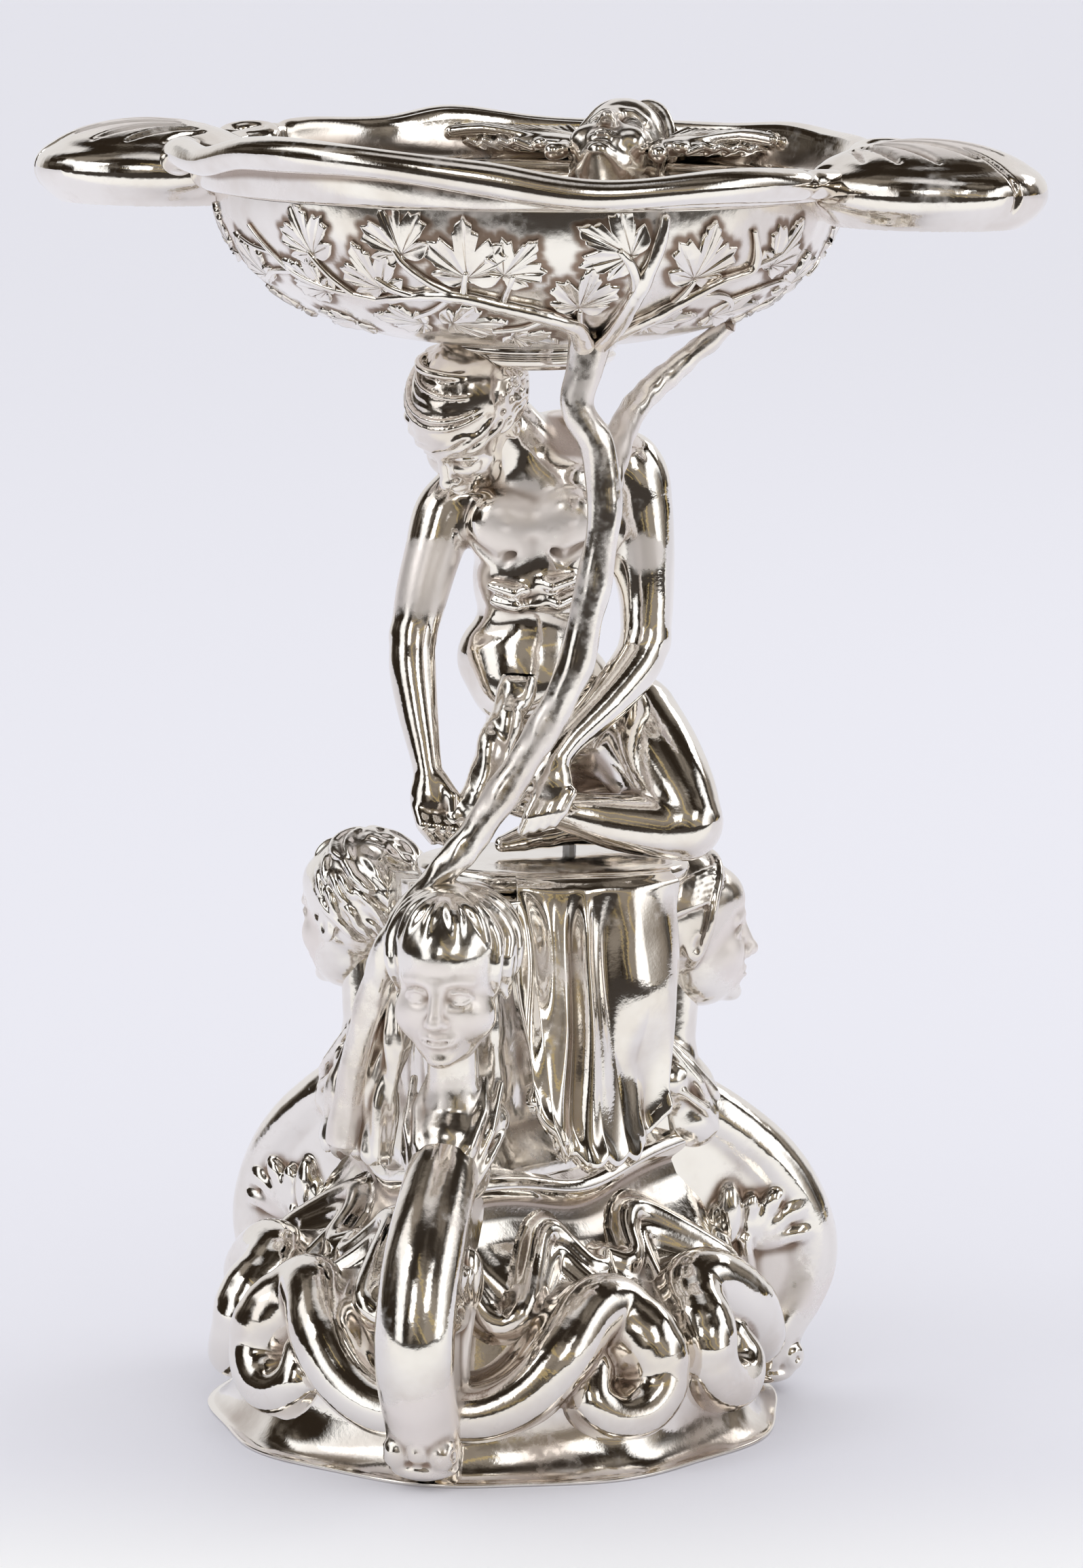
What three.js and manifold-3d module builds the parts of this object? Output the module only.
// A figural comport of silver plate: a kneeling figure and a vine carry a dish on three scroll legs.
// Millimetres, +Z up. The origin lies on the table below the dish's middle, and the handles lie along X.
import * as THREE from "three";
import { mergeVertices } from "three/addons/utils/BufferGeometryUtils.js";
import Module from "manifold-3d";

const wasm = await Module();
wasm.setup();

// Fits
const CLEARANCE = 0.3; // gap between a piece and the piece it is seated on
const DEEP = 400; // length of a cutter that runs right out of a piece

// Foot
const BASE_X = -6; // the base stands a little off the dish's middle
const BASE_Y = -4.5;
const FOOT_RADIUS = 86.4;
const FOOT_FLARE = 10;
const FOOT_STEP = 5.4; // from the flare in to the bell
const FOOT_HEIGHT = 24;
const FOOT_BROW = 4; // from the flare up to the bell
const FOOT_WALL = 3;
const FOOT_LOBES = 9;
const FOOT_WAVE = 1.2;
const FOOT_SIDES = 4 * FOOT_LOBES;

// Column and plinth
const COLUMN_RADIUS = 39;
const COLUMN_WAIST = 3;
const COLUMN_WALL = 4;
const COLUMN_HEIGHT = 71;
const COLUMN_TOP_WALL = 8;
const COLUMN_SIDES = 18;
const PLINTH_THICKNESS = 7;
const PLINTH_HALF_WIDTH = 41;
const PLINTH_HALF_DEPTH = 29;
const PLINTH_OFFSET = 16; // the plinth's middle lies to the right of the base's axis
const PLINTH_STEP = 3;
const PLINTH_SIDES = 32;
const BOSS_RADIUS = 9;
const BOSS_LENGTH = 13;

// Bell
const BELL_HEIGHT = 58; // from the foot to the lip
const BELL_SHOULDER = 10; // from the lip to the column
const BELL_TAPER = 14; // from the bell's foot in to its waist
const BELL_LIP = 5; // from the waist out to the lip
const BELL_LIP_ROUND = 4;
const BELL_TOP_STEP = 7; // from the column out to the bell's top edge
const BELL_WALL = 3.5;
const BELL_PANELS = 3;
const BELL_PANEL_DEPTH = 2;
const BELL_SIDES = 24;
const BELL_FOOT_RADIUS = FOOT_RADIUS - FOOT_FLARE - FOOT_STEP;
const BELL_WAIST_RADIUS = BELL_FOOT_RADIUS - BELL_TAPER;
const BELL_LIP_RADIUS = BELL_WAIST_RADIUS + BELL_LIP;
const BELL_TOP_RADIUS = COLUMN_RADIUS + BELL_TOP_STEP;
const BELL_LIP_HEIGHT = FOOT_HEIGHT + BELL_HEIGHT;
const BELL_TOP = BELL_LIP_HEIGHT + BELL_SHOULDER;
const COLUMN_TOP = BELL_TOP + COLUMN_HEIGHT;
const PLINTH_TOP = COLUMN_TOP + PLINTH_THICKNESS;

// Scroll legs
const LEG_COUNT = 3;
const FRONT_LEG_ANGLE = -85;
const LEG_OVERHANG = 21.6; // how far a leg bulges past the foot
const LEG_REACH = FOOT_RADIUS + LEG_OVERHANG;
const LEG_TOP = BELL_TOP + 7;
const LEG_BOTTOM = FOOT_HEIGHT - 11;
const LEG_WIDTH = 24;
const LEG_BAND = 7.2;
const LEG_WEB = 13;
const LEG_NAMES = ["front", "right", "left"];
const SCROLL_RADIUS = 3.6;
const PETAL_COUNT = 3;
const PETAL_LENGTH = 15;

// Herm busts and heads
const HERM_RADIUS = COLUMN_RADIUS + 19.5; // from the base's axis to the middle of a head
const HERM_HEAD_HEIGHT = BELL_TOP + 54;
const HEAD_HALF_WIDTH = 15;
const HEAD_HALF_DEPTH = 17.5;
const HEAD_HALF_HEIGHT = 25.5;
const HERM_HAIR = [0.04, 0.1, 0.07];
const CHEST_HALF_WIDTH = 14;
const NECK_RADIUS = 7.5;

// Tails and ribbons
const TAIL_THICKNESS = 19.5;
const TAIL_TIP = 7;
const TAIL_RADIUS = BELL_FOOT_RADIUS + 12;
const TAIL_LEAN = 0.24; // how far the tails lean in with their height
const RIBBON_THICKNESS = 8.5;
const RIBBON_RADIUS = BELL_FOOT_RADIUS + 3;
const RIBBON_LEAN = 0.25;

// Drapery
const DRAPERY_ANGLE = -49; // its middle, on the turned stand
const DRAPERY_SPREAD = 30;
const DRAPERY_TAPER = 0.2;
const DRAPERY_THICKNESS = 5;
const DRAPERY_BOTTOM = BELL_TOP + 2;
const DRAPERY_HEM_RISE = 14;
const DRAPERY_HEM_RADIUS = BELL_TOP_RADIUS + 18;
const DRAPERY_FOLDS = 6;
const FOLD_DEPTH = 1.7;

// Figure and vine, which face the front left
const FIGURE_TURN = 18;
const FIGURE_HEIGHT = 153.5; // from the plinth to the bowl
const FIGURE_DRAWN = 153.5; // the height that the stations of the figure are drawn for
const TRUNK_RADIUS = 4.6;
const BRANCH_RADIUS = 2.3;

// Dish
const BOWL_RADIUS = 92;
const BOWL_DEPTH = 45.5;
const BOWL_FLATNESS = 2.7;
const BOWL_WALL = 2.5;
const BOWL_FLANGE = 3.5;
const BOWL_SIDES = 32;
const COLLAR_RADIUS = 27;
const COLLAR_HEIGHT = 6.5;
const COLLAR_SIDES = 18;
const BORDER_INNER = BOWL_RADIUS - 1;
const BORDER_PLATE = 2.5;
const BORDER_ROLL_WIDTH = 5;
const BORDER_ROLL_HEIGHT = 4.3;
const BORDER_STEPS = 42;
const ROLL_SIDES = 5;
const ROLL_WRAP = 2.3; // the angle to each side over which the edge is rolled, in radians
const HANDLE_ROOT = BOWL_RADIUS + 5;
const HANDLE_LENGTH = 56.7;
const HANDLE_ROUNDING = 12; // how much shorter the outer flutes are
const FLUTE_COUNT = 5;
const FLUTE_THICKNESS = 11;
const MASK_RADIUS = BOWL_RADIUS + 3; // from the dish's middle to the middle of the mask
const MASK_RISE = 9;
const MASK_HALF_WIDTH = 13.5;
const FAN_RIBS = 4;
const FAN_LENGTH = 46;

// Fasteners
const ROD_RADIUS = 3;
const ROD_END = 2; // how far the rod stands out of its nut
const BAR_SEAT = 5.5;
const BAR_WIDTH = 14;
const BAR_THICKNESS = 4;
const NUT_RADIUS = 6.5;
const NUT_HEIGHT = 4.5;
const WASHER_RADIUS = 8.5;
const WASHER_THICKNESS = 1.5;
const SCREW_RADIUS = 2;
const SCREW_HEAD_RADIUS = 3.8;
const SCREW_HEAD_HEIGHT = 3;
const LEG_SCREW_HEIGHT = FOOT_HEIGHT + 36;
const LEG_SCREW_LENGTH = 16;
const FIGURE_SCREW_GRIP = 6;
const PIN_RADIUS = 1.5;
const PIN_LENGTH = 8;

const SILVER = { color: 0xd9d6d2, roughness: 0.14, metalness: 1 };
const AGED_SILVER = { color: 0xb7aaa0, roughness: 0.35, metalness: 1 };
const BRASS = { color: 0xb08d4c, roughness: 0.35, metalness: 1 };
const STEEL = { color: 0x8e8f91, roughness: 0.4, metalness: 1 };

// Groups: the base is turned with its front leg, and the stand with the plinth is turned like the figure.
// The figure starts on the plinth's top, and the dish at the bowl's underside.
const comport = new THREE.Group();
const base = new THREE.Group();
const stand = new THREE.Group();
const figure = new THREE.Group();
const dish = new THREE.Group();
base.position.set(BASE_X, BASE_Y, 0);
base.rotation.z = THREE.MathUtils.degToRad(FRONT_LEG_ANGLE);
figure.position.z = PLINTH_TOP;
figure.rotation.z = THREE.MathUtils.degToRad(FIGURE_TURN);
dish.position.z = PLINTH_TOP + FIGURE_HEIGHT;
stand.rotation.z = figure.rotation.z - base.rotation.z;
base.add(stand);
comport.add(base, figure, dish);
const legs = LEG_NAMES.map((name, i) => {
  const leg = new THREE.Group();
  leg.rotation.z = (2 * Math.PI * i) / LEG_COUNT;
  base.add(leg);
  return leg;
});
comport.updateMatrixWorld(true);

// Solids and booleans
function solidOf(geometry) {
  const bare = new THREE.BufferGeometry();
  bare.setAttribute("position", geometry.getAttribute("position").clone());
  if (geometry.index) bare.setIndex(geometry.index.clone());
  const merged = mergeVertices(bare, 1e-4);
  const corners = [];
  for (let i = 0; i < merged.index.count; i += 3) {
    const [a, b, c] = [0, 1, 2].map((k) => merged.index.getX(i + k));
    if (a !== b && b !== c && c !== a) corners.push(a, b, c);
  }
  const vertProperties = merged.attributes.position.array;
  const triVerts = new Uint32Array(corners);
  return new wasm.Manifold(new wasm.Mesh({ numProp: 3, vertProperties, triVerts }));
}

function geometryOf(solid) {
  const mesh = solid.getMesh();
  const geometry = new THREE.BufferGeometry();
  geometry.setAttribute("position", new THREE.BufferAttribute(mesh.vertProperties, 3));
  geometry.setIndex(new THREE.BufferAttribute(mesh.triVerts, 1));
  geometry.computeVertexNormals();
  return geometry;
}

function join(...geometries) {
  const solids = geometries.map(solidOf);
  return geometryOf(solids.reduce((sum, next) => sum.add(next)));
}

// A piece less its cutters; only its main body is kept, without the chips that a cut leaves.
function cut(geometry, ...cutters) {
  const rest = cutters.map(solidOf).reduce((left, next) => left.subtract(next), solidOf(geometry));
  const bodies = rest.decompose();
  return geometryOf(bodies.reduce((a, b) => (a.volume() > b.volume() ? a : b)));
}

// A geometry of one group seen from another group.
function across(geometry, from, to) {
  const step = to.matrixWorld.clone().invert().multiply(from.matrixWorld);
  return geometry.clone().applyMatrix4(step);
}

function place(name, group, geometry, finish = SILVER) {
  const mesh = new THREE.Mesh(geometry, new THREE.MeshStandardMaterial(finish));
  mesh.name = name;
  group.add(mesh);
  return mesh;
}

// Points at even steps from one value to another
const arc = (from, to, count, point) =>
  Array.from({ length: count + 1 }, (_, i) => point(THREE.MathUtils.lerp(from, to, i / count)));

// A closed skin over rings of points, with a point in the middle of each end.
function skin(rings, startTip, endTip) {
  const sides = rings[0].length;
  const points = [...rings.flat(), startTip, endTip];
  const index = [];
  for (let j = 0; j < sides; j++) {
    const k = (j + 1) % sides;
    for (let i = 0; i + 1 < rings.length; i++) {
      const [a, b] = [i * sides + j, i * sides + k];
      index.push(a, b, a + sides, b, b + sides, a + sides);
    }
    const last = (rings.length - 1) * sides;
    index.push(points.length - 2, k, j, points.length - 1, last + j, last + k);
  }
  const geometry = new THREE.BufferGeometry().setFromPoints(points);
  geometry.setIndex(index);
  return geometry;
}

// A limb, stem or tail along stations [x, y, z, half width, half depth]: oval sections that swell and
// taper. The half width lies along the given direction. An end is domed by its share of the half depth,
// and a pointed end comes straight to its tip.
function limb(stations, options = {}) {
  const { width = [0, 1, 0], sides = 8, grow = 0, dome = 0.6, pointed = false } = options;
  const spine = new THREE.CatmullRomCurve3(stations.map(([x, y, z]) => new THREE.Vector3(x, y, z)));
  const broad = new THREE.Vector3(...width);
  const count = stations.length - 1;
  const ring = (i, share, shift) => {
    const tangent = spine.getTangent(i / count);
    const side = broad.clone().addScaledVector(tangent, -broad.dot(tangent)).normalize();
    const depth = tangent.clone().cross(side);
    const [halfWidth, halfDepth = halfWidth] = stations[i].slice(3).map((half) => half + grow);
    const centre = spine.getPoint(i / count).addScaledVector(tangent, shift * (dome * halfDepth + grow));
    const points = arc(0, 2 * Math.PI, sides, (angle) =>
      centre
        .clone()
        .addScaledVector(side, share * halfWidth * Math.cos(angle))
        .addScaledVector(depth, share * halfDepth * Math.sin(angle)),
    );
    return { centre, points: points.slice(0, -1) };
  };
  const [inward, outward] = [Math.cos(Math.PI / 4), Math.sin(Math.PI / 4)];
  const rings = stations.map((station, i) => ring(i, 1, 0));
  if (!pointed) {
    rings.unshift(ring(0, inward, -outward));
    rings.push(ring(count, inward, outward));
  }
  return skin(
    rings.map((r) => r.points),
    ring(0, 0, -1).centre,
    ring(count, 0, 1).centre,
  );
}

function turned(profile, segments) {
  const points = profile.map(([r, z]) => new THREE.Vector2(r, z));
  return new THREE.LatheGeometry(points, segments).rotateX(Math.PI / 2);
}

// A radius that swells and shrinks round the axis; the amount may change with height.
function waved(geometry, waves, amount) {
  const p = geometry.getAttribute("position");
  for (let i = 0; i < p.count; i++) {
    const [x, y, z] = [p.getX(i), p.getY(i), p.getZ(i)];
    const share = 1 + (amount(z) * Math.cos(waves * Math.atan2(y, x))) / Math.max(Math.hypot(x, y), 1);
    p.setXY(i, x * share, y * share);
  }
  return geometry;
}

const rod = (radius, bottom, top, sides = 8) =>
  turned([[0, bottom], [radius, bottom], [radius, top], [0, top]], sides);

// Foot: a cavetto flare with a lobed edge, hollow below
function footOutline(grow) {
  const flare = arc(0, Math.PI / 2, 4, (a) => [
    FOOT_RADIUS + grow - FOOT_FLARE * Math.sin(a),
    (FOOT_HEIGHT - FOOT_BROW) * (1 - Math.cos(a)) + grow * Math.sin(a),
  ]);
  return [...flare, [BELL_FOOT_RADIUS + 1 + grow, FOOT_HEIGHT + grow]];
}

// The bell and the bridge bar rest on a flat ledge at the top of the foot.
const FOOT_LEDGE = BELL_FOOT_RADIUS - BELL_WALL - 3;
const footWave = (z) => FOOT_WAVE * (1 - z / FOOT_HEIGHT);

function foot() {
  const outside = footOutline(0);
  const inside = arc(Math.PI / 2, 0, 2, (a) => [
    FOOT_RADIUS - FOOT_WALL - FOOT_FLARE * Math.sin(a),
    (FOOT_HEIGHT - FOOT_BROW - FOOT_WALL) * (1 - Math.cos(a)),
  ]);
  const under = FOOT_HEIGHT - FOOT_WALL;
  const ledge = [[FOOT_LEDGE, FOOT_HEIGHT], [FOOT_LEDGE, under], [inside[0][0], under]];
  return waved(turned([...outside, ...ledge, ...inside, outside[0]], FOOT_SIDES), FOOT_LOBES, footWave);
}

function footCutter() {
  const below = [[0, -DEEP], [FOOT_RADIUS + CLEARANCE, -DEEP]];
  const loop = [...below, ...footOutline(CLEARANCE), [0, FOOT_HEIGHT + CLEARANCE]];
  return waved(turned(loop, FOOT_SIDES), FOOT_LOBES, footWave);
}

// Bell: three hollow-chested panels below a lip, open inside
function bellOutline(grow) {
  const rise = (share) => FOOT_HEIGHT + BELL_HEIGHT * share;
  const curve = new THREE.SplineCurve(
    [
      [BELL_FOOT_RADIUS, rise(0)],
      [BELL_FOOT_RADIUS - 0.75 * BELL_TAPER, rise(0.35)],
      [BELL_WAIST_RADIUS, rise(0.7)],
      [BELL_LIP_RADIUS, rise(1)],
    ].map(([r, z]) => new THREE.Vector2(r, z)),
  );
  return curve.getPoints(4).map((p) => [p.x + grow, p.y]);
}

const bellWave = () => -BELL_PANEL_DEPTH;

function bell() {
  const outside = bellOutline(0);
  const inside = bellOutline(-BELL_WALL).reverse();
  const shoulder = [BELL_LIP_RADIUS - BELL_LIP_ROUND, BELL_LIP_HEIGHT + BELL_SHOULDER / 3];
  const mouth = COLUMN_RADIUS - COLUMN_WALL - 2;
  const top = [[BELL_TOP_RADIUS, BELL_TOP], [mouth, BELL_TOP], [mouth, BELL_TOP - BELL_WALL]];
  const loop = [...outside, shoulder, ...top, ...inside, outside[0]];
  return waved(turned(loop, BELL_SIDES), BELL_PANELS, bellWave);
}

function bellCutter() {
  const round = BELL_LIP_RADIUS - BELL_LIP_ROUND;
  const shoulder = [round + CLEARANCE, BELL_LIP_HEIGHT + BELL_SHOULDER / 3 + CLEARANCE];
  const top = [[BELL_TOP_RADIUS + CLEARANCE, BELL_TOP + CLEARANCE], [0, BELL_TOP + CLEARANCE]];
  const loop = [[0, FOOT_HEIGHT], ...bellOutline(CLEARANCE), shoulder, ...top];
  return waved(turned(loop, BELL_SIDES), BELL_PANELS, bellWave);
}

// Column between the heads, hollow, with a bored top wall
function columnOutline(grow) {
  return arc(0, 1, 4, (t) => [
    COLUMN_RADIUS + grow - COLUMN_WAIST * Math.sin(Math.PI * t),
    THREE.MathUtils.lerp(BELL_TOP, COLUMN_TOP, t),
  ]);
}

function column() {
  const inner = COLUMN_RADIUS - COLUMN_WAIST - COLUMN_WALL;
  const bore = BOSS_RADIUS + CLEARANCE;
  const ceiling = COLUMN_TOP - COLUMN_TOP_WALL;
  const inside = [[bore, COLUMN_TOP], [bore, ceiling], [inner, ceiling], [inner, BELL_TOP]];
  return turned([...columnOutline(0), ...inside, [COLUMN_RADIUS, BELL_TOP]], COLUMN_SIDES);
}

const columnCutter = () =>
  turned([[0, BELL_TOP], ...columnOutline(CLEARANCE), [0, COLUMN_TOP]], COLUMN_SIDES);

// Plinth: an oval plate with a stepped edge and a boss that the tie rod screws into
function plinthPlate(grow) {
  const oval = [
    [0, COLUMN_TOP - grow],
    [PLINTH_HALF_WIDTH - PLINTH_STEP + grow, COLUMN_TOP - grow],
    [PLINTH_HALF_WIDTH + grow, COLUMN_TOP + PLINTH_STEP],
    [PLINTH_HALF_WIDTH + grow, PLINTH_TOP - 1],
    [PLINTH_HALF_WIDTH - 1.5 + grow, PLINTH_TOP + grow],
    [0, PLINTH_TOP + grow],
  ];
  const squeeze = (PLINTH_HALF_DEPTH + grow) / (PLINTH_HALF_WIDTH + grow);
  return turned(oval, PLINTH_SIDES).scale(1, squeeze, 1).translate(PLINTH_OFFSET, 0, 0);
}

function plinth() {
  const bossBottom = COLUMN_TOP - BOSS_LENGTH;
  const boss = rod(BOSS_RADIUS, bossBottom, COLUMN_TOP + 1, 16);
  const bore = rod(ROD_RADIUS + CLEARANCE, bossBottom - 1, PLINTH_TOP - PLINTH_STEP);
  return cut(join(plinthPlate(0), boss), bore);
}

// Scroll leg: a broad rolled band along its outer curve, stiffened by a thinner web behind it.
// Stations of the band: distance inward from the leg's reach, share of its rise, share of the full width.
const BAND_PATH = [
  [46, 1, 0.6],
  [33, 0.91, 0.72],
  [21, 0.81, 0.84],
  [11.5, 0.7, 0.95],
  [5.5, 0.56, 1],
  [3.6, 0.385, 1],
  [5.5, 0.235, 0.96],
  [11, 0.105, 0.88],
  [17.5, 0, 0.8],
].map(([inset, rise, share]) => [LEG_REACH - inset, THREE.MathUtils.lerp(LEG_BOTTOM, LEG_TOP, rise), share]);

function web(grow) {
  const shape = new THREE.Shape();
  shape.moveTo(BELL_TOP_RADIUS, BELL_LIP_HEIGHT - 20);
  shape.lineTo(BELL_TOP_RADIUS, BELL_TOP + 4);
  for (const [x, z] of BAND_PATH) shape.lineTo(x, z);
  shape.lineTo(BELL_FOOT_RADIUS - 2, LEG_BOTTOM - 1);
  const depth = LEG_WEB + 2 * grow;
  const plate = new THREE.ExtrudeGeometry(shape, { depth, bevelEnabled: false });
  return plate.translate(0, 0, -depth / 2).rotateX(Math.PI / 2);
}

function band(grow) {
  const stations = BAND_PATH.map(([x, z, share]) => [x, 0, z, (share * LEG_WIDTH) / 2, LEG_BAND / 2]);
  return limb(stations, { sides: 6, grow });
}

function lily(side) {
  const petals = arc(-1, 1, PETAL_COUNT - 1, (t) => {
    const lean = 0.75 + 0.6 * t;
    const [x, z] = [LEG_REACH - 30, FOOT_HEIGHT + 22];
    const y = (side * LEG_WEB) / 2;
    const [dx, dz] = [PETAL_LENGTH * Math.sin(lean), PETAL_LENGTH * Math.cos(lean)];
    return limb(
      [
        [x, y, z, 1.8],
        [x + dx * 0.5, y + side, z + dz * 0.6, 2.6],
        [x + dx, y + side * 2.6, z + dz, 1.3],
      ],
      { sides: 4, pointed: true },
    );
  });
  return join(...petals);
}

function bracket(grow = 0) {
  const half = LEG_WIDTH * 0.42 + grow;
  const scroll = rod(SCROLL_RADIUS + grow, -half, half, 10);
  scroll.rotateX(Math.PI / 2).translate(LEG_REACH - 15, 0, FOOT_HEIGHT / 2);
  return join(web(grow), band(grow), scroll);
}

const leg = () => join(bracket(), lily(1), lily(-1));

function legBore() {
  const reach = BELL_WAIST_RADIUS + BELL_PANEL_DEPTH + LEG_SCREW_LENGTH;
  const bore = rod(SCREW_RADIUS + CLEARANCE, 0, reach, 10);
  return bore.rotateY(Math.PI / 2).translate(0, 0, LEG_SCREW_HEIGHT);
}

// Herm bust: chest, neck and the socket for its head
function bust(grow = 0) {
  const chest = [
    [HERM_RADIUS + 10, 0, BELL_LIP_HEIGHT, CHEST_HALF_WIDTH - 3, 9],
    [HERM_RADIUS + 3, 0, BELL_TOP + 4, CHEST_HALF_WIDTH, 12],
    [HERM_RADIUS - 4, 0, BELL_TOP + 14, CHEST_HALF_WIDTH - 2, 10],
    [HERM_RADIUS - 5, 0, BELL_TOP + 21, NECK_RADIUS + 1, NECK_RADIUS],
    [HERM_RADIUS - 3, 0, BELL_TOP + 33, NECK_RADIUS, NECK_RADIUS],
  ];
  return limb(chest, { sides: 10, grow });
}

// Head: a rounded form that faces along X, with brow, nose, chin and a raised cap of hair
function head({ depth, width, height, hair, grow = 0 }) {
  const bump = (value, middle, spread) => Math.exp(-(((value - middle) / spread) ** 2));
  const rows = 8;
  const columns = 12;
  const point = (lift, turn) => {
    const jaw = lift < 0 ? 1 - 0.34 * Math.sin(-lift) ** 1.6 : 1;
    const nose = 0.17 * bump(turn, 0, 0.2) * bump(lift, -0.14, 0.2);
    const eyes = -0.05 * (bump(turn, 0.42, 0.22) + bump(turn, -0.42, 0.22)) * bump(lift, 0.1, 0.16);
    const chin = 0.05 * bump(turn, 0, 0.5) * bump(lift, -0.95, 0.25);
    const crown = THREE.MathUtils.smoothstep(lift, 0.45, 0.75);
    const back = lift > -0.9 ? THREE.MathUtils.smoothstep(Math.abs(turn), 1.15, 1.5) : 0;
    const cap = hair * Math.max(crown, back);
    const swell = 1 + nose + eyes + chin + cap;
    return new THREE.Vector3(
      (depth * swell + grow) * Math.cos(lift) * Math.cos(turn),
      (width * jaw * (1 + cap + eyes) + grow) * Math.cos(lift) * Math.sin(turn),
      (height * (1 + cap * 0.5) + grow) * Math.sin(lift),
    );
  };
  const ring = (lift) =>
    Array.from({ length: columns }, (_, i) => point(lift, ((i / columns) * 2 - 1) * Math.PI));
  const lifts = arc(-1.32, 1.32, rows - 1, (lift) => lift);
  return skin(lifts.map(ring), point(-Math.PI / 2, 0), point(Math.PI / 2, 0));
}

// Turns a form that faces along X, with its crown up, to another facing and crown.
function facing(geometry, face, crown) {
  const x = new THREE.Vector3(...face).normalize();
  const z = new THREE.Vector3(...crown);
  z.addScaledVector(x, -z.dot(x)).normalize();
  return geometry.applyMatrix4(new THREE.Matrix4().makeBasis(x, z.clone().cross(x), z));
}

const hermHead = (i, grow = 0) =>
  head({
    depth: HEAD_HALF_DEPTH,
    width: HEAD_HALF_WIDTH,
    height: HEAD_HALF_HEIGHT,
    hair: HERM_HAIR[i],
    grow,
  }).translate(HERM_RADIUS, 0, HERM_HEAD_HEIGHT);

// Tails and ribbons: paths of [angle, height, thickness share] round the base, from the leg outward
const TAIL_PATH = [
  [8, -3, 0.83],
  [17, 2, 0.92],
  [27, 14.5, 1],
  [37, 26, 1],
  [46, 23.5, 0.87],
  [50.5, 11, 0.73],
  [48, -1, 0.5],
  [41.5, -6.5, 0.27],
  [35.5, -2, 0],
];
const RIBBON_PATH = [
  [8, 33, 0.9],
  [12, 24, 1],
  [20, 22.5, 1],
  [25.5, 29, 1],
  [28.5, 39, 1],
  [34, 45, 0.95],
  [41, 42.5, 0.85],
  [46, 36, 0.7],
];

// A station on the base's side: angle and height above the foot become a place that leans with the bell.
function onBase(angle, rise, radius, lean, half) {
  const turn = THREE.MathUtils.degToRad(angle);
  const r = radius - lean * rise;
  return [r * Math.cos(turn), r * Math.sin(turn), FOOT_HEIGHT + rise, half];
}

function tail(side, grow = 0) {
  const stations = TAIL_PATH.map(([angle, rise, share]) => {
    const half = THREE.MathUtils.lerp(TAIL_TIP, TAIL_THICKNESS, share) / 2;
    return onBase(angle * side, rise, TAIL_RADIUS, TAIL_LEAN, half);
  });
  return limb(stations, { width: [0.6, 0.8 * side, 0], sides: 7, grow });
}

function ribbon(side, grow = 0) {
  const stations = RIBBON_PATH.map(([angle, rise, share]) =>
    onBase(angle * side, rise, RIBBON_RADIUS, RIBBON_LEAN, (share * RIBBON_THICKNESS) / 2),
  );
  return limb(stations, { width: [0.8, 0.6 * side, 0], sides: 5, grow });
}

// Drapery: a folded cloth that hangs from the plinth's edge, with a rounded hem
function plinthReach(angle) {
  const [c, s] = [Math.cos(angle), Math.sin(angle)];
  const [a, b] = [PLINTH_HALF_WIDTH, PLINTH_HALF_DEPTH];
  const k = (c / a) ** 2 + (s / b) ** 2;
  const m = (PLINTH_OFFSET * c) / a ** 2;
  return (m + Math.sqrt(m * m - k * ((PLINTH_OFFSET / a) ** 2 - 1))) / k;
}

function drapery(grow = 0) {
  const columns = DRAPERY_FOLDS * 4;
  const rows = 3;
  const spot = (i, j, layer) => {
    const along = (2 * j) / columns - 1;
    const down = i / rows;
    const spread = DRAPERY_SPREAD * (1 - DRAPERY_TAPER * down) * along;
    const angle = THREE.MathUtils.degToRad(DRAPERY_ANGLE + spread);
    const fold = FOLD_DEPTH * (0.5 + 0.5 * down) * Math.cos(Math.PI * DRAPERY_FOLDS * (along + 1));
    const hem = DRAPERY_BOTTOM + DRAPERY_HEM_RISE * along * along;
    const top = plinthReach(angle) + DRAPERY_THICKNESS + 2 * CLEARANCE + FOLD_DEPTH;
    const outer = THREE.MathUtils.lerp(top, DRAPERY_HEM_RADIUS, down ** 0.8) + fold + grow;
    const r = layer ? outer - DRAPERY_THICKNESS - 2 * grow : outer;
    const z = THREE.MathUtils.lerp(PLINTH_TOP - 1, hem, down) + grow * (1 - 2 * down);
    return new THREE.Vector3(r * Math.cos(angle), r * Math.sin(angle), z);
  };
  // Each ring goes down the outer face of one column and up its inner face.
  const rings = Array.from({ length: columns + 1 }, (_, j) => [
    ...Array.from({ length: rows + 1 }, (_, i) => spot(i, j, 0)),
    ...Array.from({ length: rows + 1 }, (_, i) => spot(rows - i, j, 1)),
  ]);
  const middle = (ring) => ring[1].clone().lerp(ring[ring.length - 2], 0.5);
  return skin(rings, middle(rings[0]), middle(rings[columns]));
}

// Figure: stations are above the plinth, in the figure's own group
const stretched = (stations) =>
  stations.map(([x, y, z, ...half]) => [x, y, (z * FIGURE_HEIGHT) / FIGURE_DRAWN, ...half]);

const bodyPart = (stations, options) => (grow) =>
  limb(stretched(stations), { width: [1, 0, 0], sides: 10, grow, ...options });

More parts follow.
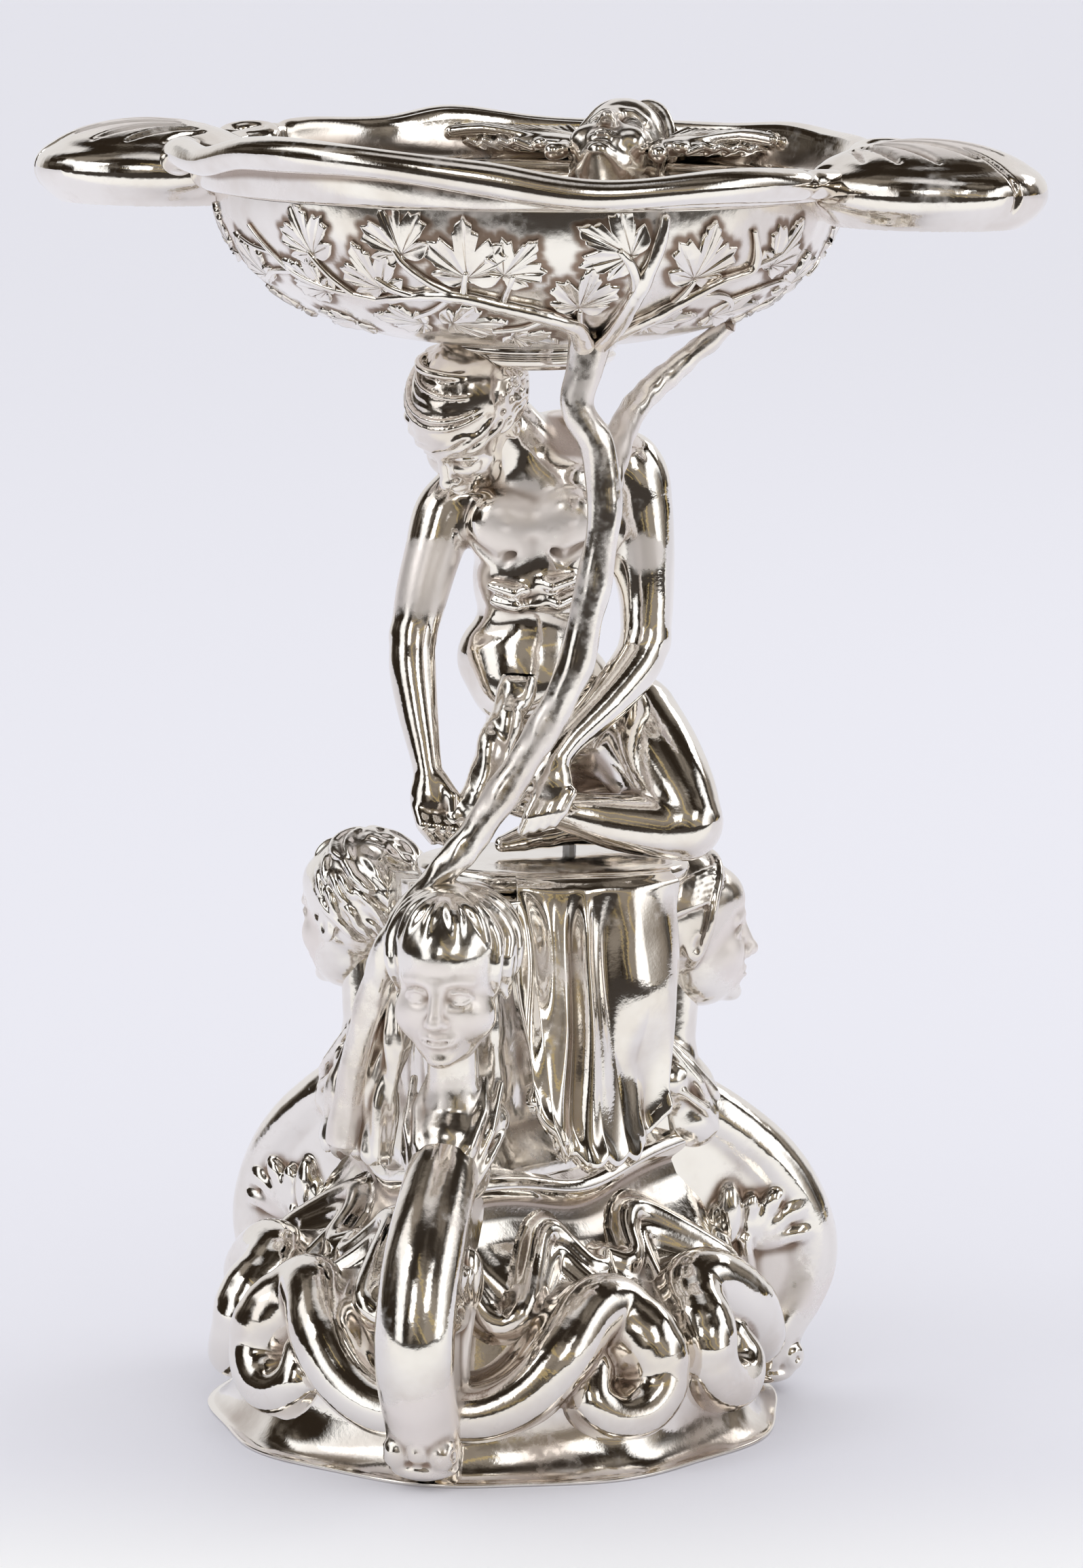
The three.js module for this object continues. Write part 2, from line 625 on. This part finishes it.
const torso = bodyPart([
  [15, 13, 30, 20, 15],
  [15, 11, 42, 24, 18],
  [8, 5, 53, 23, 17],
  [3, 0, 66, 20, 14],
  [3, -3, 79, 17.5, 12],
  [5, -5, 92, 21.5, 13.5],
  [7, -3, 105, 27, 12.5],
  [10, 2, 115, 22, 10],
  [0, 0, 124, 9, 8.5],
]);
const leftThigh = bodyPart([
  [30, 10, 41, 15, 15],
  [41, -3, 30, 13.5, 14],
  [48.5, -15, 14, 9.5, 10.5],
  [48, -19, 9, 8, 8.6],
], { width: [0, 0, 1] });
const leftShin = bodyPart([
  [46, -17, 9.5, 8.3, 8],
  [32, -18, 11.5, 8, 7.5],
  [12, -20, 15.5, 5.6, 5.6],
  [-3, -20, 19.5, 4, 4.4],
  [-12, -16, 20, 4.6, 4],
], { width: [0, 0, 1] });
const rightThigh = bodyPart([
  [4, 14, 37, 14, 14],
  [18, 22, 27, 12.5, 13],
  [36, 22, 14, 9.5, 10],
], { width: [0, 0, 1] });
const rightShin = bodyPart([
  [40, 20, 9.8, 8, 9],
  [24, 12, 8.6, 7.5, 8.5],
  [12, 6, 6.6, 4.4, 6.2],
  [5, 2, 3.8, 3, 3.4],
], { width: [0, 0, 1] });
const rightArm = bodyPart([
  [-22.6, -1.6, 106.6, 8.3, 8.3],
  [-29, -6, 96, 7.8, 8],
  [-31.5, -11, 80, 6.4, 6.6],
  [-32, -15, 68, 5.6, 5.8],
  [-31, -23, 52, 5.2, 5.2],
  [-28, -30, 31, 3.7, 3.6],
  [-24, -31, 19, 6, 4.6],
]);
const leftArm = bodyPart([
  [31, 2, 115, 8.5, 9],
  [35.5, 1, 102, 8.6, 8.4],
  [37, -2, 84, 7.6, 7.2],
  [35.5, -7, 68, 6.8, 6.6],
  [26, -18, 53, 6.6, 6.4],
  [12, -29, 38, 4.6, 4.4],
  [7, -33, 26, 5.2, 4.6],
]);
const cloth = bodyPart([
  [-3, -26, 49, 5, 3.6],
  [-8, -32, 37, 6.5, 4],
  [-12, -35, 26, 4.8, 3.6],
  [-18.5, -33, 17.5, 5, 3.4],
], { sides: 8 });
const figureHead = (grow) =>
  facing(
    head({ depth: 20.5, width: 17, height: 18, hair: 0.04, grow }),
    [-0.75, -0.45, -0.5],
    [-0.3, -0.6, 0.75],
  ).translate(-17, -6, FIGURE_HEIGHT - 20);

function headPad(grow) {
  const stations = [
    [-18, -7, FIGURE_HEIGHT - 4, 11, 8.5],
    [-18, -7, FIGURE_HEIGHT - 0.5, 11.5, 9],
  ];
  return limb(stations, { width: [1, 0, 0], sides: 10, dome: 0.1, grow });
}

// Vine: a trunk from the bell to the bowl, and a branch behind it
const BELL_LEVEL = BELL_TOP - PLINTH_TOP; // the bell's top seen from the figure

function trunk(grow = 0) {
  const r = TRUNK_RADIUS;
  const stations = [
    [-52, -33, BELL_LEVEL - 2, r * 1.5],
    [-47, -38, BELL_LEVEL + 27, r * 1.2],
    [-41.5, -44, -29, r * 1.1],
    [-35, -50, -12, r],
    ...stretched([
      [-23.4, -54, 4, r],
      [-13.7, -53, 16, r],
      [1.8, -51, 39, r],
      [13.4, -50, 61, r * 1.05],
      [18.1, -50, 81, r * 1.05],
      [22.7, -50, 108, r],
      [20.5, -50, 128, r * 1.1],
      [14.7, -50, 139.6, r],
      [17, -50, 150, r * 1.15],
    ]),
    [18.6, -50, FIGURE_HEIGHT + 7.5, r * 1.25],
  ];
  return limb(stations, { width: [1, 0, 0], sides: 7, grow });
}

function backBranch(grow) {
  const stations = stretched([
    [23, -43, 118, 4.4],
    [28, -32, 131, 4.2],
    [35, -20, 141, 4],
    [46, -14, 149, 3.6],
    [58, -16, 160, 3],
  ]);
  return limb(stations, { width: [1, 0, 0], sides: 6, grow });
}

// Bark root: a rough buttress of the vine on the column, between two busts
function root(grow = 0) {
  const stations = [
    [-49, -29, BELL_LEVEL - 4, 17, 8],
    [-46, -31, BELL_LEVEL + 14, 15, 8],
    [-42, -35, BELL_LEVEL + 29, 12.5, 8],
    [-38, -38, BELL_LEVEL + 44, 9, 7],
    [-33, -40, BELL_LEVEL + 58, 5.5, 5],
  ];
  return limb(stations, { width: [0.55, -0.83, 0], sides: 9, grow });
}

// Bowl: its height grows with the radius as in a flattened round; heights are above its underside
const bowlHeight = (r, radius, bottom) =>
  bottom + (BOWL_DEPTH - bottom) * (1 - Math.sqrt(1 - (r / radius) ** BOWL_FLATNESS));
const bowlRadius = (z) => BOWL_RADIUS * (1 - (1 - z / BOWL_DEPTH) ** 2) ** (1 / BOWL_FLATNESS);

function bowlSide(radius, bottom, count) {
  return arc(0, 1, count, (t) => {
    const r = radius * Math.sin((t * Math.PI) / 2) ** 0.8;
    return [r, bowlHeight(r, radius, bottom)];
  });
}

function bowl() {
  const outside = bowlSide(BOWL_RADIUS, 0, 6).slice(0, -1);
  const inside = bowlSide(BOWL_RADIUS - BOWL_WALL, BOWL_WALL, 4).reverse();
  const edge = BOWL_RADIUS + BOWL_FLANGE;
  const flange = [[BOWL_RADIUS, BOWL_DEPTH - 3], [edge, BOWL_DEPTH - 2], [edge, BOWL_DEPTH]];
  return turned([...outside, ...flange, ...inside], BOWL_SIDES);
}

function bowlCutter() {
  const outside = bowlSide(BOWL_RADIUS + CLEARANCE, -CLEARANCE, 6);
  return turned([...outside, [0, BOWL_DEPTH]], BOWL_SIDES);
}

function collar() {
  const chamfer = [[COLLAR_RADIUS - 2, -COLLAR_HEIGHT], [COLLAR_RADIUS, 2 - COLLAR_HEIGHT]];
  const loop = [[0, -COLLAR_HEIGHT], ...chamfer, [COLLAR_RADIUS, BOWL_DEPTH], [0, BOWL_DEPTH]];
  return turned(loop, COLLAR_SIDES);
}

const collarCutter = () =>
  rod(COLLAR_RADIUS + CLEARANCE, -COLLAR_HEIGHT - CLEARANCE, BOWL_DEPTH, COLLAR_SIDES);

// Crown branches lie on the bowl along stations of [angle, height, share of the branch's radius].
const LEFT_BRANCH = [
  [-55, 8, 1.3],
  [-61, 12.5, 1.2],
  [-68.5, 15.7, 1.1],
  [-77, 18.5, 1],
  [-86, 21, 0.9],
  [-104, 18.5, 0.6],
];
const RIGHT_BRANCH = [
  [-50.5, 8.5, 1.3],
  [-50.5, 17.5, 1.1],
  [-49.3, 27.1, 0.95],
  [-48, 36.5, 0.7],
];
const THIN_BRANCH = [
  [-49, 9.5, 0.9],
  [-43, 14.5, 0.85],
  [-37.6, 19.9, 0.8],
  [-24.6, 27.8, 0.6],
];

function crownBranch(list, grow = 0) {
  const stations = list.map(([angle, z, share]) => {
    const turn = THREE.MathUtils.degToRad(angle);
    const r = bowlRadius(z) + BRANCH_RADIUS / 4;
    return [r * Math.cos(turn), r * Math.sin(turn), z, BRANCH_RADIUS * share];
  });
  return limb(stations, { width: [0, 0, 1], sides: 5, grow });
}

// Border: a plate on the bowl's flange that ends in a rolled, wavy edge. Stations of the edge: angle,
// distance outside the bowl, height above the rim. The cutter for what lies on it also drops down below it.
const BORDER_STATIONS = [
  [-180, 9, 7],
  [-150, 11, 9],
  [-122, 10, 13.5],
  [-100, 12.5, 13],
  [-80, 9, 9],
  [-62, 10.5, 5],
  [-40, 11, 6.5],
  [-18, 9, 6],
  [5, 10, 5],
  [32, 11, 9],
  [58, 9, 12],
  [90, 11.5, 10],
  [122, 9, 14],
  [150, 11, 11],
];

function border(grow = 0, drop = 0) {
  const curve = new THREE.CatmullRomCurve3(
    BORDER_STATIONS.map(([angle, out, rise]) => {
      const turn = THREE.MathUtils.degToRad(angle);
      const r = BOWL_RADIUS + out;
      return new THREE.Vector3(r * Math.cos(turn), r * Math.sin(turn), BOWL_DEPTH + rise);
    }),
    true,
  );
  const rings = Array.from({ length: BORDER_STEPS }, (_, i) => {
    const centre = curve.getPoint(i / BORDER_STEPS);
    const out = new THREE.Vector3(centre.x, centre.y, 0).normalize();
    const r = Math.hypot(centre.x, centre.y);
    const at = (radius, z) => out.clone().multiplyScalar(radius).setZ(z);
    const roll = arc(drop ? 0 : -ROLL_WRAP, ROLL_WRAP, ROLL_SIDES - 1, (a) =>
      at(
        r + (BORDER_ROLL_WIDTH + grow) * Math.cos(a),
        centre.z + (BORDER_ROLL_HEIGHT + grow) * Math.sin(a),
      ),
    );
    return [
      at(BORDER_INNER - grow, BOWL_DEPTH + BORDER_PLATE + grow),
      at(BORDER_INNER - grow, BOWL_DEPTH - grow - drop),
      at(drop ? r + BORDER_ROLL_WIDTH + grow : BOWL_RADIUS + BOWL_FLANGE, BOWL_DEPTH - grow - drop),
      ...roll,
    ];
  });
  return closedSweep(rings);
}

// A skin over rings that run round and meet their start.
function closedSweep(rings) {
  const sides = rings[0].length;
  const count = rings.length;
  const index = [];
  for (let i = 0; i < count; i++)
    for (let j = 0; j < sides; j++) {
      const [a, b] = [i * sides + j, i * sides + ((j + 1) % sides)];
      const [c, d] = [a, b].map((n) => (n + sides) % (count * sides));
      index.push(a, c, b, b, c, d);
    }
  const geometry = new THREE.BufferGeometry().setFromPoints(rings.flat());
  geometry.setIndex(index);
  return geometry;
}

// Handle: round flutes that fan out from the border, with their ends curled down
function handle(side, grow = 0) {
  const half = FLUTE_THICKNESS / 2;
  const flutes = arc(-1, 1, FLUTE_COUNT - 1, (t) => {
    const length = HANDLE_LENGTH - half - HANDLE_ROUNDING * Math.abs(t) ** 1.5;
    const spread = Math.sign(t) * (9 + 20 * Math.abs(t)) * Math.abs(t) ** 0.3;
    const at = (part, rise, share) => [
      side * (HANDLE_ROOT + length * part),
      spread * (0.55 + 0.45 * part),
      BOWL_DEPTH + rise,
      half * share * 1.25,
      half * share,
    ];
    const stations = [at(0, 8, 0.75), at(0.35, 11.5, 1), at(0.75, 11, 1.1), at(1, 4, 0.9)];
    return limb(stations, { sides: 5, grow, dome: 0.8 });
  });
  return join(...flutes);
}

// Mask on the back of the border, between two ribbed fans
const mask = (grow = 0) =>
  facing(
    head({ depth: 12, width: MASK_HALF_WIDTH, height: 17, hair: 0.08, grow }),
    [0, -0.35, 0.94],
    [0, 1, 0],
  ).translate(0, MASK_RADIUS, BOWL_DEPTH + MASK_RISE);

function fan(side, grow = 0) {
  const ribs = arc(0, 1, FAN_RIBS - 1, (t) => {
    const lean = THREE.MathUtils.degToRad(THREE.MathUtils.lerp(-20, 62, t));
    const length = FAN_LENGTH - 16 * t;
    const at = (part, rise, half) => [
      side * (10 + length * part * Math.cos(lean)),
      MASK_RADIUS - 6 + length * part * Math.sin(lean) * 0.55,
      BOWL_DEPTH + rise,
      half + grow,
    ];
    const stations = [at(0.1, 7, 3), at(0.55, 12, 3.8), at(1, 12, 3.2)];
    return limb(stations, { width: [0, 0, 1], sides: 4, pointed: true });
  });
  const curl = arc(0, 1, 6, (t) => {
    const a = -1 + 4.6 * t;
    const r = 6.5 - 4 * t;
    const [x, y] = [21 - r * Math.cos(a), MASK_RADIUS - 14 + r * Math.sin(a)];
    return [side * x, y, BOWL_DEPTH + 5 + 2 * t, 2.6 - t + grow];
  });
  return join(...ribs, limb(curl, { width: [0, 0, 1], sides: 5 }));
}

// Fasteners: plain turned and hexagonal forms
const hexagon = (radius, bottom, top) => rod(radius, bottom, top, 6);

function screw(length) {
  return join(hexagon(SCREW_HEAD_RADIUS, -SCREW_HEAD_HEIGHT, 0), rod(SCREW_RADIUS, -1, length));
}

const BAR_TOP = FOOT_HEIGHT - FOOT_WALL;
const BAR_BOTTOM = BAR_TOP - BAR_THICKNESS;

function bridgeBar() {
  const bar = new THREE.BoxGeometry(2 * (FOOT_LEDGE + BAR_SEAT), BAR_WIDTH, BAR_THICKNESS);
  bar.translate(0, 0, BAR_TOP - BAR_THICKNESS / 2);
  return cut(bar, rod(ROD_RADIUS + CLEARANCE, 0, FOOT_HEIGHT, 16));
}

function ring(radius, bore, bottom, top, sides) {
  return cut(rod(radius, bottom, top, sides), rod(bore, bottom - 1, top + 1, 16));
}

// Places of the screw and the pin, in the figure's group
const FIGURE_SCREW = [14, 8];
const HEAD_PIN = [-18, -7];
const PIN_TOP = FIGURE_HEIGHT - 1;
const SCREW_SEAT = COLUMN_TOP - COLUMN_TOP_WALL - PLINTH_TOP;

const bored = (spot, radius, bottom, top) => rod(radius + CLEARANCE, bottom, top).translate(...spot, 0);

// Base pieces
const footSolid = footCutter();
const bellSolid = bellCutter();
const columnSolid = columnCutter();
const figureBore = bored(FIGURE_SCREW, SCREW_RADIUS, SCREW_SEAT - 1, FIGURE_SCREW_GRIP + 1);
place("foot_skirt", base, foot());
place("bell_panels", base, cut(bell(), ...legs.map((group) => across(legBore(), group, base))));
place("rock_column", base, cut(column(), across(figureBore, figure, base)), AGED_SILVER);
place("plinth_plate", stand, cut(plinth(), across(figureBore, figure, stand)), AGED_SILVER);

const legSolid = bracket(CLEARANCE);
const bustSolid = bust(CLEARANCE);
const plateSolid = plinthPlate(CLEARANCE);
const trunkSolid = trunk(CLEARANCE);
LEG_NAMES.forEach((name, i) => {
  const group = legs[i];
  const plate = across(plateSolid, stand, group);
  place(`${name}_leg`, group, cut(leg(), footSolid, bellSolid, legBore()));
  place(`${name}_bust`, group, cut(bust(), bellSolid, columnSolid, legSolid, plate), AGED_SILVER);
  place(`${name}_head`, group, cut(hermHead(i), columnSolid, bustSolid, plate), AGED_SILVER);
  for (const [side, hand] of [[1, "right"], [-1, "left"]]) {
    place(`${name}_${hand}_tail`, group, cut(tail(side), footSolid, bellSolid, legSolid));
    const rest = [footSolid, bellSolid, legSolid, tail(side, CLEARANCE)];
    place(`${name}_${hand}_ribbon`, group, cut(ribbon(side), ...rest));
  }
});

// The busts and heads of all legs, with their clearance, seen from another group
const hermsFrom = (to) =>
  legs.flatMap((group, i) => [bustSolid, hermHead(i, CLEARANCE), legSolid].map((g) => across(g, group, to)));

const baseFrom = (to) => [bellSolid, columnSolid].map((g) => across(g, base, to));
const trunkOnStand = across(trunkSolid, figure, stand);
const clothOnStand = [...baseFrom(stand), plateSolid, ...hermsFrom(stand), trunkOnStand];
place("drapery", stand, cut(drapery(), ...clothOnStand));

// Figure pieces
const plateUnder = across(plateSolid, stand, figure);
const bowlSolid = bowlCutter();
const bowlOver = across(bowlSolid, dish, figure);
const bodyParts = [torso, leftThigh, leftShin, rightThigh, rightShin];
const bodySolid = join(...bodyParts.map((part) => part(CLEARANCE)));
const headSolid = figureHead(CLEARANCE);
const padSolid = headPad(CLEARANCE);
const armSolids = [rightArm(CLEARANCE), leftArm(CLEARANCE)];
const clothSolid = cloth(CLEARANCE);
const headPinBore = bored(HEAD_PIN, PIN_RADIUS, PIN_TOP - PIN_LENGTH, DEEP);

place("figure_body", figure, cut(join(...bodyParts.map((part) => part(0))), plateUnder, figureBore));
place("figure_head", figure, cut(figureHead(0), bodySolid, headPinBore));
place("head_pad", figure, cut(headPad(0), headSolid, bowlOver, headPinBore));
place("right_arm", figure, cut(rightArm(0), bodySolid, headSolid));
place("left_arm", figure, cut(leftArm(0), bodySolid, headSolid));
place("twisted_cloth", figure, cut(cloth(0), bodySolid, ...armSolids), AGED_SILVER);

const baseUnder = [...baseFrom(figure), plateUnder, ...hermsFrom(figure)];
const figureSolids = [bodySolid, headSolid, ...armSolids, clothSolid];
place("vine_trunk", figure, cut(trunk(0), ...baseUnder, ...figureSolids, bowlOver));
const collarOver = across(collarCutter(), dish, figure);
place("back_branch", figure, cut(backBranch(0), trunkSolid, ...figureSolids, collarOver, bowlOver));
place("bark_root", figure, cut(root(0), trunkSolid, ...baseUnder), AGED_SILVER);

// Dish pieces
const figureUnder = [headSolid, padSolid, trunkSolid, backBranch(CLEARANCE)];
const fromFigure = figureUnder.map((g) => across(g, figure, dish));
const boltBottom = 2 - COLLAR_HEIGHT;
const boltBore = rod(SCREW_RADIUS + CLEARANCE, boltBottom, BOWL_DEPTH);
place("seat_collar", dish, cut(collar(), bowlSolid, ...fromFigure, boltBore));
place("bowl", dish, cut(bowl(), boltBore));
const crownCutters = [bowlSolid, ...fromFigure];
place("left_crown_branch", dish, cut(crownBranch(LEFT_BRANCH), ...crownCutters));
crownCutters.push(crownBranch(LEFT_BRANCH, CLEARANCE));
place("right_crown_branch", dish, cut(crownBranch(RIGHT_BRANCH), ...crownCutters));
crownCutters.push(crownBranch(RIGHT_BRANCH, CLEARANCE));
place("thin_crown_branch", dish, cut(crownBranch(THIN_BRANCH), ...crownCutters));

const flangeSolid = rod(BOWL_RADIUS + BOWL_FLANGE + CLEARANCE, 0, BOWL_DEPTH + CLEARANCE, BOWL_SIDES);
const handleCutters = [border(CLEARANCE), flangeSolid];
const maskCutters = [border(CLEARANCE, DEEP), flangeSolid];
place("dish_border", dish, border());
place("right_handle", dish, cut(handle(1), ...handleCutters));
place("left_handle", dish, cut(handle(-1), ...handleCutters));
place("mask", dish, cut(mask(), ...maskCutters), AGED_SILVER);
place("right_fan", dish, cut(fan(1), ...maskCutters, mask(CLEARANCE)));
place("left_fan", dish, cut(fan(-1), ...maskCutters, mask(CLEARANCE)));

// Fasteners in the base
const washerBottom = BAR_BOTTOM - WASHER_THICKNESS;
const nutBottom = washerBottom - NUT_HEIGHT;
const rodBore = ROD_RADIUS + CLEARANCE;
place("tie_rod", base, rod(ROD_RADIUS, nutBottom - ROD_END, PLINTH_TOP - PLINTH_STEP - CLEARANCE), STEEL);
place("bridge_bar", base, bridgeBar(), STEEL);
place("rod_washer", base, ring(WASHER_RADIUS, rodBore, washerBottom, BAR_BOTTOM, 24), STEEL);
place("rod_nut", base, ring(NUT_RADIUS, rodBore, nutBottom, washerBottom, 6), BRASS);
const legScrewSeat = BELL_WAIST_RADIUS - BELL_WALL - BELL_PANEL_DEPTH - CLEARANCE;
LEG_NAMES.forEach((name, i) => {
  const piece = place(`${name}_leg_screw`, legs[i], screw(LEG_SCREW_LENGTH), STEEL);
  piece.rotation.y = Math.PI / 2;
  piece.position.set(legScrewSeat, 0, LEG_SCREW_HEIGHT);
});
const figureScrew = place("figure_screw", figure, screw(FIGURE_SCREW_GRIP - SCREW_SEAT), STEEL);
figureScrew.position.set(...FIGURE_SCREW, SCREW_SEAT);

// Fasteners in the dish
const boltHead = BOWL_WALL + CLEARANCE;
const dishBolt = place("dish_bolt", dish, screw(boltHead - boltBottom - CLEARANCE), BRASS);
dishBolt.rotation.x = Math.PI;
dishBolt.position.set(0, 0, boltHead);
const headPin = rod(PIN_RADIUS, PIN_TOP - PIN_LENGTH + CLEARANCE, PIN_TOP);
place("head_pin", figure, headPin.translate(...HEAD_PIN, 0), STEEL);

export default comport;
